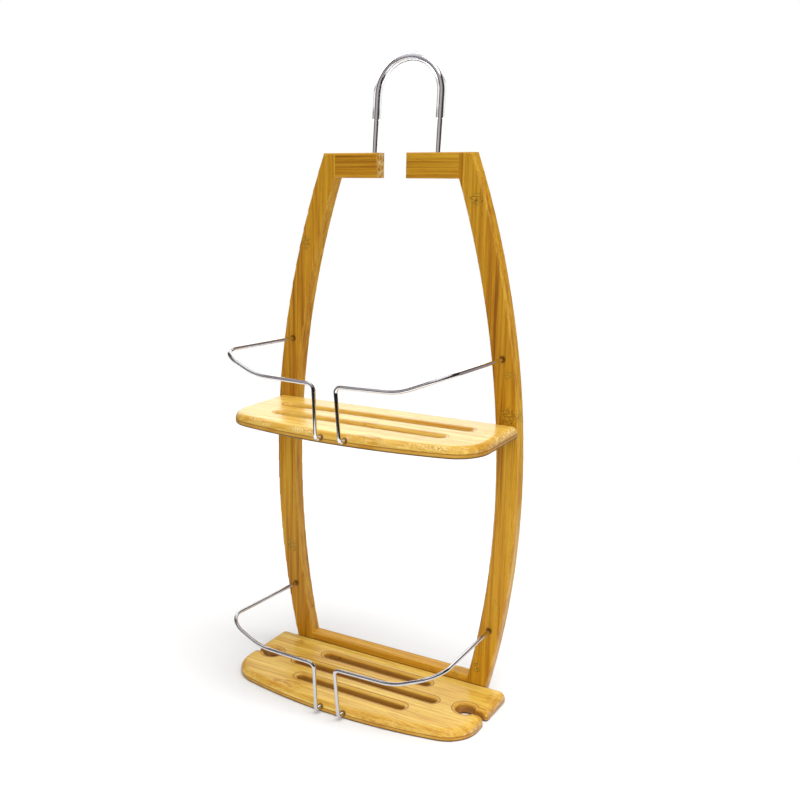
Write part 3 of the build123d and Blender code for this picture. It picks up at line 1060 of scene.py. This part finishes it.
def wire_object(
    name: str, path: np.ndarray, radius: float, guide: Point, sides: int = 28,
) -> bpy.types.Object:
    """Solid wire along a path, with slightly rounded ends closed by a pole.

    The radius follows the square root of 1 - (1 - d/e)², with d the distance from the nearer end
    and e the length of the rounding.

    Args:
        name: the object's name.
        path: centreline.
        radius: half the wire's thickness.
        guide: fixed vector for the section.
        sides: points round the section.

    Returns:
        The object.
    """
    gaps = np.linalg.norm(np.diff(path, axis=0), axis=1)
    place = np.concatenate([[0], np.cumsum(gaps)])
    ease = radius * END_ROUNDING
    ends = ease * (1 - np.cos(np.linspace(0, pi / 2, 6)))
    inner = place[(place > ease) & (place < place[-1] - ease)]
    at = np.concatenate([ends[1:], inner, (place[-1] - ends[1:])[::-1]])
    line = np.stack([np.interp(at, place, path[:, k]) for k in range(3)], axis=1)
    near = np.clip(np.minimum(at, place[-1] - at) / ease, 0, 1)
    shrink = 1 - END_ROUNDING * (1 - np.sqrt(1 - (1 - near) ** 2))
    points = swept(line, radius * shrink, guide, sides)
    rows = len(line)
    poles = np.array([path[0], path[-1]])
    k = np.arange(sides)
    start_cap = np.stack([np.full(sides, rows * sides), (k + 1) % sides, k], axis=1)
    base = (rows - 1) * sides
    end_cap = np.stack([np.full(sides, rows * sides + 1), base + k, base + (k + 1) % sides], axis=1)
    return mesh_object(name, np.concatenate([points, poles]), [grid_faces(rows, sides), start_cap, end_cap])


def tube_object(
    name: str, path: np.ndarray, outer: float, bore: float, guide: Point, sides: int = 40,
) -> bpy.types.Object:
    """Soft tube along a path: an outer wall, a bore and two flat rims with eased corners.

    Args:
        name: the object's name.
        path: centreline.
        outer, bore: radius of the wall and of the bore.
        guide: fixed vector for the section.
        sides: points round the section.

    Returns:
        The object.
    """
    ease = (outer - bore) * RIM_EASE
    rows = len(path)
    ends = np.isin(np.arange(rows), (0, rows - 1))
    wall = swept(path, np.where(ends, outer - ease, outer), guide, sides)
    hollow = swept(path, np.where(ends, bore + ease, bore), guide, sides)
    count = rows * sides
    k = np.arange(sides)
    after = (k + 1) % sides
    last = (rows - 1) * sides
    start_rim = np.stack([k, count + k, count + after, after], axis=1)[:, ::-1]
    end_rim = np.stack([last + k, last + after, count + last + after, count + last + k], axis=1)[:, ::-1]
    faces = [grid_faces(rows, sides), grid_faces(rows, sides, count, flip=True), start_rim, end_rim]
    return mesh_object(name, np.concatenate([wall, hollow]), faces)


def smoothed_copy(node_name: str, name: str) -> bpy.types.Object:
    """A merged copy of a CAD node with sharp edges kept and its roundings shaded smoothly.

    Args:
        node_name: the CAD node.
        name: the copy's name.

    Returns:
        The copy.
    """
    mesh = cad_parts[node_name].data.copy()
    mesh.name = name
    if "custom_normal" in mesh.attributes:
        mesh.attributes.remove(mesh.attributes["custom_normal"])
    work = bmesh.new()
    work.from_mesh(mesh)
    bmesh.ops.remove_doubles(work, verts=work.verts, dist=MERGE_WITHIN)
    bmesh.ops.dissolve_degenerate(work, edges=work.edges, dist=SLIVER_WITHIN)
    work.to_mesh(mesh)
    work.free()
    mesh.materials.clear()
    mesh.polygons.foreach_set("use_smooth", np.ones(len(mesh.polygons), dtype=bool))
    mesh.set_sharp_from_angle(angle=SHARP_ANGLE)
    piece = bpy.data.objects.new(name, mesh)
    bpy.context.scene.collection.objects.link(piece)
    weighted = piece.modifiers.new("even_faces", "WEIGHTED_NORMAL")
    weighted.mode = "FACE_AREA"
    weighted.weight = 100
    weighted.keep_sharp = True
    return piece


# ---- sub-assemblies ----------------------------------------------------------------------------------
def dress(piece: bpy.types.Object, material: bpy.types.Material, slot: str, *nodes: str) -> None:
    """Puts a material on a new piece, joins it to the body and hides what it stands for.

    Args:
        piece: the new piece.
        material: its material.
        slot: not used.
        nodes: CAD nodes that it stands for.
    """
    piece.data.materials.append(material)
    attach(piece, "root")
    if nodes:
        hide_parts(*nodes)
    log.info("%s: %d faces, %s", piece.name, len(piece.data.polygons), material.name)


@dataclass
class WoodenFrame:
    """Two bowed stiles, two top arms and the bottom rail."""

    sizes: Measures
    groups: Groups
    hole_shade: float = 0.0026

    def finishes(self) -> dict[str, BambooFinish]:
        """The finish of each board of the frame.

        Returns:
            Finishes by node.
        """
        sizes = self.sizes
        # Painted shade: dark round spots where the guard wires enter the stiles.
        holes: dict[int, tuple[Mark, ...]] = {}
        for side in (-1, 1):
            heights = [top + sizes.guard_post for top in (sizes.lower_top, sizes.upper_top)]
            places = [(side * sizes.stile_middle(z), sizes.face_y, z) for z in heights]
            holes[side] = tuple(Mark(place, self.hole_shade, 0.9) for place in places)
        left = (Knuckle(-0.0826, 0.3694, 0.005, 0.0065, 0.8), Knuckle(-0.099, 0.0965, 0.0065, 0.007))
        right = (
            Knuckle(0.1034, 0.2425, 0.0095, 0.009),
            Knuckle(0.1018, 0.2756, 0.0045, 0.005, 0.6),
            Knuckle(0.0700, 0.4065, 0.0060, 0.0055),
            Knuckle(0.0853, 0.0255, 0.005, 0.006),
        )
        seam = sizes.lower_top
        return {
            "left_stile": BambooFinish(
                "left_stile_bamboo", Grain.UPRIGHT, 1.7, knuckles=left, marks=holes[-1], seam_height=seam,
            ),
            "right_stile": BambooFinish(
                "right_stile_bamboo", Grain.UPRIGHT, 4.3, knuckles=right, marks=holes[1], seam_height=seam,
            ),
            "left_top_arm": BambooFinish("left_arm_bamboo", Grain.SIDEWAYS_UPRIGHT, 2.9),
            "right_top_arm": BambooFinish("right_arm_bamboo", Grain.SIDEWAYS_UPRIGHT, 6.1),
            "bottom_rail": BambooFinish(
                "rail_bamboo", Grain.SIDEWAYS_UPRIGHT, 7.7, seam_height=seam,
                knuckles=(Knuckle(0.014, 0.066, 0.004, 0.004, 0.6),),
                dark=(0.42, 0.17, 0.010, 1.0), middle=(0.64, 0.31, 0.022, 1.0), light=(0.78, 0.47, 0.06, 1.0),
            ),
        }

    def build(self) -> None:
        """Makes and dresses the five boards."""
        for node, finish in self.finishes().items():
            dress(smoothed_copy(node, f"{node}_board"), finish.build(self.groups, self.sizes), "bamboo", node)


@dataclass
class Shelves:
    """The slotted upper shelf and the slotted lower shelf with its razor keyholes."""

    sizes: Measures
    groups: Groups
    upper_slots: tuple[tuple[float, float], ...] = ((0.0848, 0.027), (0.0752, 0.056))
    lower_slots: tuple[tuple[float, float], ...] = ((0.0513, 0.019), (0.0682, 0.0418), (0.0508, 0.0646))
    foot_shade: float = 0.0024
    # The shelves' paler bamboo is partly their own tone and partly painted light on their level tops; their
    # sides are darkened again with painted shade.
    pale: dict[str, object] = field(default_factory=lambda: {
        "dark": (0.50, 0.215, 0.018, 1.0), "middle": (0.69, 0.420, 0.060, 1.0),
        "light": (0.84, 0.610, 0.150, 1.0), "strip_share": 0.20, "vein_share": 0.26, "dash_share": 0.40,
        "netted": False, "eased": 0.0, "edge_shade": 0.42, "worn": (0.95, 0.82, 0.44, 1.0),
        "specular": 0.28, "coat": 0.06,
    })

    def slot_openings(self, slots: tuple[tuple[float, float], ...]) -> tuple[Opening, ...]:
        """Openings of the drain slots, from (half length, distance from the frame)."""
        radius = self.sizes.slot_width / 2
        return tuple(Opening(0.0, self.sizes.face_y - back, half - radius, radius) for half, back in slots)

    def keyhole_openings(self) -> tuple[Opening, ...]:
        """The round part and the neck of each keyhole; a neck runs on past the shelf's side.

        Returns:
            The openings.
        """
        sizes = self.sizes
        y = sizes.face_y - sizes.keyhole_back
        reach = sizes.shelf_half - sizes.keyhole_x
        holes = []
        for side in (-1, 1):
            holes.append(Opening(side * sizes.keyhole_x, y, 0.0, sizes.keyhole_radius))
            holes.append(Opening(side * (sizes.keyhole_x + reach), y, reach, sizes.neck_width / 2))
        return tuple(holes)

    def foot_marks(self, top: float) -> tuple[Mark, ...]:
        """Shade round the two guard ends in the front edge.

        Args:
            top: height of the shelf's top.

        Returns:
            The marks.
        """
        z = top - self.sizes.shelf_thickness / 2
        x = self.sizes.guard_foot_half
        y = self.sizes.shelf_front(x)
        return tuple(Mark((side * x, y, z), self.foot_shade, 0.95) for side in (-1, 1))

    def finishes(self) -> dict[str, BambooFinish]:
        """The finish of each shelf.

        Returns:
            Finishes by node.
        """
        sizes = self.sizes
        face = sizes.face_y
        upper = (
            Knuckle(face - 0.058, 0.1085, 0.011, 0.007, 0.9),
            Knuckle(face - 0.049, 0.008, 0.008, 0.009, 0.7),
            Knuckle(face - 0.088, 0.030, 0.007, 0.014, 0.8),
        )
        lower = (
            Knuckle(face - 0.0134, -0.0825, 0.008, 0.006, 0.8),
            Knuckle(face - 0.081, -0.051, 0.008, 0.018, 0.9),
            Knuckle(face - 0.0915, 0.050, 0.006, 0.030, 0.8),
            Knuckle(face - 0.016, 0.106, 0.010, 0.007, 0.7),
        )
        # Painted shade: a dark spot on the far wall of the rear slot, just under the top.
        slot_shade_spot = Mark((-0.0383, face - 0.0160, sizes.lower_top - 0.002), 0.0012, 0.95)
        return {
            "upper_shelf": BambooFinish(
                "upper_shelf_bamboo", Grain.SIDEWAYS_FLAT, 3.1, strip_width=0.0185, knuckles=upper,
                speckle=0.70, wall_shade=0.0, **self.pale,
                openings=self.slot_openings(self.upper_slots), marks=self.foot_marks(sizes.upper_top),
            ),
            "lower_shelf": BambooFinish(
                "lower_shelf_bamboo", Grain.SIDEWAYS_FLAT, 8.9, strip_width=0.0185, knuckles=lower,
                speckle=0.15, **self.pale,
                openings=self.slot_openings(self.lower_slots) + self.keyhole_openings(),
                marks=self.foot_marks(sizes.lower_top) + (slot_shade_spot,),
            ),
        }

    def build(self) -> None:
        """Makes and dresses the two shelves."""
        for node, finish in self.finishes().items():
            dress(smoothed_copy(node, f"{node}_board"), finish.build(self.groups, self.sizes), "bamboo", node)


@dataclass
class WireGuards:
    """Four bent wire guards, one on each side of each shelf."""

    sizes: Measures
    wire: float = 0.003
    reach: float = 0.104
    side_inset: float = 0.0137
    elbow_back: float = 0.0037
    elbow_height: float = 0.0549
    knee_share: float = 0.553
    knee_height: float = 0.0402
    corner_height: float = 0.039
    leg_half: float = 0.0095
    foot_clear: float = 0.0069
    bends: tuple[float, ...] = (0.020, 0.055, 0.0048, 0.0036)
    seat: float = 0.009
    spacing: float = 0.0012
    # Painted shade: the lower guards get a darker copy of the same chrome.
    shaded_lower_chrome: Colour = (0.60, 0.595, 0.61, 1.0)

    def corners(self, top: float, side: int) -> np.ndarray:
        """Corner points of a guard, from its end in the stile to its end in the shelf.

        Args:
            top: height of the shelf's top.
            side: -1 for the left guard, 1 for the right.

        Returns:
            The points, one row each.
        """
        s = self.sizes
        hole_z = top + s.guard_post
        front = s.face_y - self.reach
        foot_x = side * s.guard_foot_half
        edge = s.shelf_front(foot_x)
        foot_z = top - s.shelf_thickness / 2
        hole = np.array([side * s.stile_middle(hole_z), s.face_y, hole_z])
        elbow_x = side * (s.shelf_half - self.side_inset)
        elbow = np.array([elbow_x, front + self.elbow_back, top + self.elbow_height])
        outward = (hole - elbow) / np.linalg.norm(hole - elbow)
        return np.array([
            hole + outward * self.seat,
            elbow,
            [side * s.shelf_half * self.knee_share, front, top + self.knee_height],
            [side * self.leg_half, front, top + self.corner_height],
            [foot_x, edge - self.foot_clear, foot_z],
            [foot_x, edge + self.seat, foot_z],
        ])

    def build(self) -> None:
        """Makes and dresses the four guards."""
        levels = (
            ("upper", self.sizes.upper_top, ChromeFinish("upper_guard_chrome")),
            ("lower", self.sizes.lower_top, ChromeFinish("lower_guard_chrome", self.shaded_lower_chrome)),
        )
        for level, top, finish in levels:
            chrome = finish.build()
            for word, side in (("left", -1), ("right", 1)):
                path = rounded_path(self.corners(top, side), self.bends, self.spacing)
                guide = (float(side), 1.0, -1.0)
                node = f"{level}_{word}_guard"
                dress(wire_object(f"{node}_wire", path, self.wire / 2, guide), chrome, "chrome_wire", node)


@dataclass
class Hook:
    """Bent wire hook in the two arms and the clear vinyl sleeve over it."""

    sizes: Measures
    wire: float = 0.0036
    sleeve: float = 0.0066
    clearance: float = 0.0001
    leg_spacing: float = 0.0554
    shift: float = 0.0063
    leg: float = 0.044
    lean: float = radians(5.0)
    seat: float = 0.014
    sleeve_start: float = 0.025

    def path(self, start: float) -> np.ndarray:
        """Centreline up one leg, over the half circle and down to the same height.

        In the leaning plane of the hook, the legs are upright lines at plus and minus the radius,
        and the arch is the half circle round the point between their tops.

        Args:
            start: height of both ends above the arms, along the legs.

        Returns:
            The path's points, one row each.
        """
        radius = self.leg_spacing / 2
        straight = np.linspace(start, self.leg, 40)
        angle = np.linspace(pi, 0, 90)[1:-1]
        across = np.concatenate([np.full(40, -radius), radius * np.cos(angle), np.full(40, radius)])
        up = np.concatenate([straight, self.leg + radius * np.sin(angle), straight[::-1]])
        y = self.sizes.face_y + self.sizes.board / 2 + up * sin(self.lean)
        return np.stack([self.shift + across, y, self.sizes.height + up * cos(self.lean)], axis=1)

    def build(self) -> None:
        """Makes and dresses the hook and its sleeve."""
        square = (0.0, -cos(self.lean), sin(self.lean))
        wire = wire_object("hanging_hook_wire", self.path(-self.seat), self.wire / 2, square, sides=40)
        dress(wire, ChromeFinish("hook_chrome").build(), "chrome_wire", "hanging_hook")
        bore = self.wire / 2 + self.clearance
        tube = tube_object("hook_sleeve_tube", self.path(self.sleeve_start), self.sleeve / 2, bore, square)
        dress(tube, VinylFinish().build(), "clear_vinyl", "hook_sleeve")


@dataclass
class Fasteners:
    """Dowels inside the joints and countersunk screws in the back."""

    sizes: Measures
    groups: Groups

    def build(self) -> None:
        """Gives the CAD dowels and screws their finishes."""
        wood = BambooFinish(
            "dowel_wood", Grain.SIDEWAYS_UPRIGHT, 5.5, strip_width=0.002,
            dark=(0.42, 0.27, 0.12, 1.0), middle=(0.58, 0.40, 0.20, 1.0), light=(0.70, 0.52, 0.30, 1.0),
        ).build(self.groups, self.sizes)
        steel = SteelFinish("screw_steel").build(self.sizes.face_y + self.sizes.board)
        for name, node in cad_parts.items():
            if "dowel" in name or "screw" in name:
                material = wood if "dowel" in name else steel
                node.data.materials.clear()
                node.data.materials.append(material)
                log.info("%s: %s", name, material.name)


# ---- studio ------------------------------------------------------------------------------------------
SHEEN: Colour = (3.2, 3.2, 3.2, 1.0)
WHITE: Colour = (1.0, 1.0, 1.0, 1.0)
PALE: Colour = (0.80, 0.78, 0.86, 1.0)
ROSE: Colour = (0.58, 0.53, 0.53, 1.0)
LILAC: Colour = (0.66, 0.63, 0.72, 1.0)
GREY: Colour = (0.30, 0.29, 0.32, 1.0)
BROWN: Colour = (0.13, 0.10, 0.075, 1.0)
DEEP: Colour = (0.05, 0.045, 0.045, 1.0)
BLACK: Colour = (0.015, 0.015, 0.015, 1.0)


def degree_stops(*stops: tuple[float, Colour]) -> tuple[tuple[float, Colour], ...]:
    """Ramp stops over the whole circle, from degrees between -180 and 180."""
    return tuple((degrees / 360 + 0.5, colour) for degrees, colour in stops)


@dataclass
class Studio:
    """Pale floor, soft light and the camera."""

    sizes: Measures
    azimuth: float = radians(31.98)
    pitch: float = radians(14.37)
    camera_place: Point = (0.3888, -0.6819, 0.4299)
    lens: float = 45.94
    shift: tuple[float, float] = (0.0951, 0.0360)
    floor_half: float = 0.95
    card_radius: float = 0.55
    card_height: float = 1.0
    sun_from: Point = (0.30, -0.12, 1.0)
    sun_strength: float = 2.9
    sun_spread: float = radians(50)
    fill_place: Point = (0.18, -0.46, 0.10)
    fill_height: float = 0.09
    fill_size: float = 0.40
    fill_power: float = 0.62

    def build(self) -> None:
        """Makes the floor, the lights, the surroundings and the camera."""
        self.floor()
        self.cards()
        self.surroundings()
        self.soft_sun("overhead", self.sun_from, self.sun_strength, self.sun_spread)
        self.fill_card()
        self.camera()

    def floor(self) -> None:
        """Pale floor with a faint mottle."""
        half = self.floor_half
        corners = [(-half, -half, 0), (half, -half, 0), (half, half, 0), (-half, half, 0)]
        points = np.array(corners, dtype=float)
        floor = mesh_object("floor", points, [np.array([[0, 1, 2, 3]])], smooth=False)
        material, g, shader = new_material("pale_floor")
        place = g.add("ShaderNodeTexCoord").outputs["Object"]
        mottle = g.mix(g.noise(place, 3.0), (0.80, 0.80, 0.80, 1), (0.83, 0.83, 0.825, 1))
        g.feed(shader.inputs["Base Color"], mottle)
        shader.inputs["Roughness"].default_value = 0.85
        floor.data.materials.append(material)

    def card_share(self, g: Graph, place: object) -> Socket:
        """Direction from the caddy as a share of the circle: 0.5 is towards the camera, more to its right.

        Args:
            g: graph of the material.
            place: point in metres.

        Returns:
            The share.
        """
        x, y, _ = g.parts(place)
        turn = g.math("SUBTRACT", g.math("ARCTAN2", y, x), self.azimuth - pi / 2)
        return g.math("MULTIPLY_ADD", g.math("WRAP", turn, pi, -pi), 1 / (2 * pi), 0.5)

    def cards(self) -> None:
        """Ring of grey cards and black flags round the caddy, which only mirror reflections see.

        Point (i, k) of the ring is at the card radius and k steps of the circle, at the foot of the
        ring for i = 0 and at its top for i = 1.
        """
        sides = 96
        turn = 2 * pi * np.arange(sides) / sides
        circle = np.stack([np.cos(turn), np.sin(turn), np.zeros(sides)], axis=1) * self.card_radius
        points = np.concatenate([circle, circle + (0.0, 0.0, self.card_height)])
        ring = mesh_object("reflected_cards", points, [grid_faces(2, sides)])
        material, g, shader = new_material("reflected_cards")
        place = g.add("ShaderNodeTexCoord").outputs["Object"]
        share = self.card_share(g, place)
        z = g.parts(place)[2]
        low = g.ramp(share, degree_stops(
            (-180, DEEP), (-128, DEEP), (-108, GREY), (-60, GREY), (-50, LILAC), (-40, BLACK), (94, BLACK),
            (106, GREY), (126, GREY), (142, DEEP), (180, DEEP),
        ))
        high = g.ramp(share, degree_stops(
            (-180, BROWN), (-84, BROWN), (-68, ROSE), (4, ROSE), (24, GREY), (40, BROWN), (100, BLACK),
            (128, BROWN), (150, BROWN), (180, BROWN),
        ))
        front = g.ramp(z, (
            (0.00, BLACK), (0.25, BLACK), (0.28, PALE), (0.34, PALE),
            (0.37, BLACK), (0.60, BLACK), (0.66, GREY),
            (0.74, GREY), (0.80, BLACK), (1.00, BLACK),
        ))
        colour = g.mix(g.step(z, 0.34, 0.44), low, high)
        apart = g.math("ABSOLUTE", g.math("SUBTRACT", share, 0.33))
        facing = g.math("SUBTRACT", 1.0, g.step(apart, 0.07, 0.10))
        colour = g.mix(g.math("MULTIPLY", facing, g.step(z, 0.46, 0.50, 1.0, 0.0)), colour, front)
        behind = g.step(g.math("ABSOLUTE", g.math("SUBTRACT", share, 0.5)), 0.38, 0.42)
        sheen = g.math("MULTIPLY", g.step(z, 0.24, 0.30), g.step(z, 0.42, 0.50, 1.0, 0.0))
        colour = g.mix(g.math("MULTIPLY", behind, sheen), colour, SHEEN)
        clear = g.math("MULTIPLY", g.step(z, 0.49, 0.50), g.step(z, 0.72, 0.76, 1.0, 0.0))
        colour = g.mix(g.math("MULTIPLY", behind, clear), colour, WHITE)
        glow = g.add("ShaderNodeEmission")
        g.feed(glow.inputs["Color"], colour)
        output = material.node_tree.nodes["Material Output"]
        g.feed(output.inputs["Surface"], glow.outputs[0])
        material.node_tree.nodes.remove(shader)
        ring.data.materials.append(material)
        ring.visible_camera = False
        ring.visible_diffuse = False
        ring.visible_shadow = False

    def surroundings(self) -> None:
        """White background, a soft sky for the wood and a bright one for the gloss."""
        world = bpy.data.worlds.new("studio")
        bpy.context.scene.world = world
        world.use_nodes = True
        tree = world.node_tree
        tree.nodes.clear()
        g = Graph(tree)
        z = g.parts(g.add("ShaderNodeTexCoord").outputs["Generated"])[2]
        height = g.math("MULTIPLY_ADD", z, 0.5, 0.5)
        sky = g.ramp(height, ((0.45, (0.25, 0.25, 0.25, 1)), (1.0, (0.65, 0.65, 0.65, 1))))
        path = g.add("ShaderNodeLightPath")
        gloss = g.ramp(height, ((0.91, (0.12, 0.12, 0.13, 1)), (0.95, (1.3, 1.3, 1.32, 1))))
        seen = g.mix(path.outputs["Is Glossy Ray"], sky, gloss)
        seen = g.mix(path.outputs["Is Transmission Ray"], seen, (0.97, 0.97, 0.98, 1.0))
        seen = g.mix(path.outputs["Is Camera Ray"], seen, WHITE)
        background = g.add("ShaderNodeBackground")
        g.feed(background.inputs["Color"], seen)
        background.inputs["Strength"].default_value = 1.0
        output = g.add("ShaderNodeOutputWorld")
        g.feed(output.inputs["Surface"], background.outputs[0])

    def soft_sun(self, name: str, source: Point, strength: float, spread: float) -> None:
        """Broad even light that comes from a direction.

        Args:
            name: the light's name.
            source: vector from the caddy towards the light.
            strength: light on a square metre that faces it, in watts.
            spread: angle that the light fills.
        """
        data = bpy.data.lights.new(name, "SUN")
        data.energy = strength
        data.angle = spread
        lamp = bpy.data.objects.new(name, data)
        lamp.rotation_euler = Vector(source).to_track_quat("Z", "Y").to_euler()
        lamp.visible_glossy = False
        bpy.context.scene.collection.objects.link(lamp)

    def fill_card(self) -> None:
        """Low soft card in front that lifts the foot of the frame."""
        data = bpy.data.lights.new("fill_card", "AREA")
        data.size = self.fill_size
        data.energy = self.fill_power
        lamp = bpy.data.objects.new("fill_card", data)
        lamp.location = self.fill_place
        target = Vector((0.02, self.sizes.face_y, self.fill_height))
        lamp.rotation_euler = (lamp.location - target).to_track_quat("Z", "Y").to_euler()
        lamp.visible_camera = False
        lamp.visible_glossy = False
        bpy.context.scene.collection.objects.link(lamp)

    def camera(self) -> None:
        """Camera at the front right, looking slightly down."""
        data = bpy.data.cameras.new("camera")
        data.lens = self.lens
        data.sensor_width = 36.0
        data.shift_x, data.shift_y = self.shift
        data.clip_start = 0.01
        camera = bpy.data.objects.new("camera", data)
        camera.location = self.camera_place
        camera.rotation_euler = (pi / 2 - self.pitch, 0.0, self.azimuth)
        bpy.context.scene.collection.objects.link(camera)
        bpy.context.scene.camera = camera


def main() -> None:
    """Builds the caddy and its studio."""
    logging.basicConfig(level=logging.INFO, format="%(name)s: %(message)s")
    bpy.context.scene.view_settings.view_transform = "Standard"
    sizes = Measures()
    groups = Groups()
    for assembly in (
        WoodenFrame(sizes, groups), Shelves(sizes, groups), WireGuards(sizes),
        Hook(sizes), Fasteners(sizes, groups), Studio(sizes),
    ):
        assembly.build()
        log.info("%s done", type(assembly).__name__)


if __name__ == "__main__":
    main()
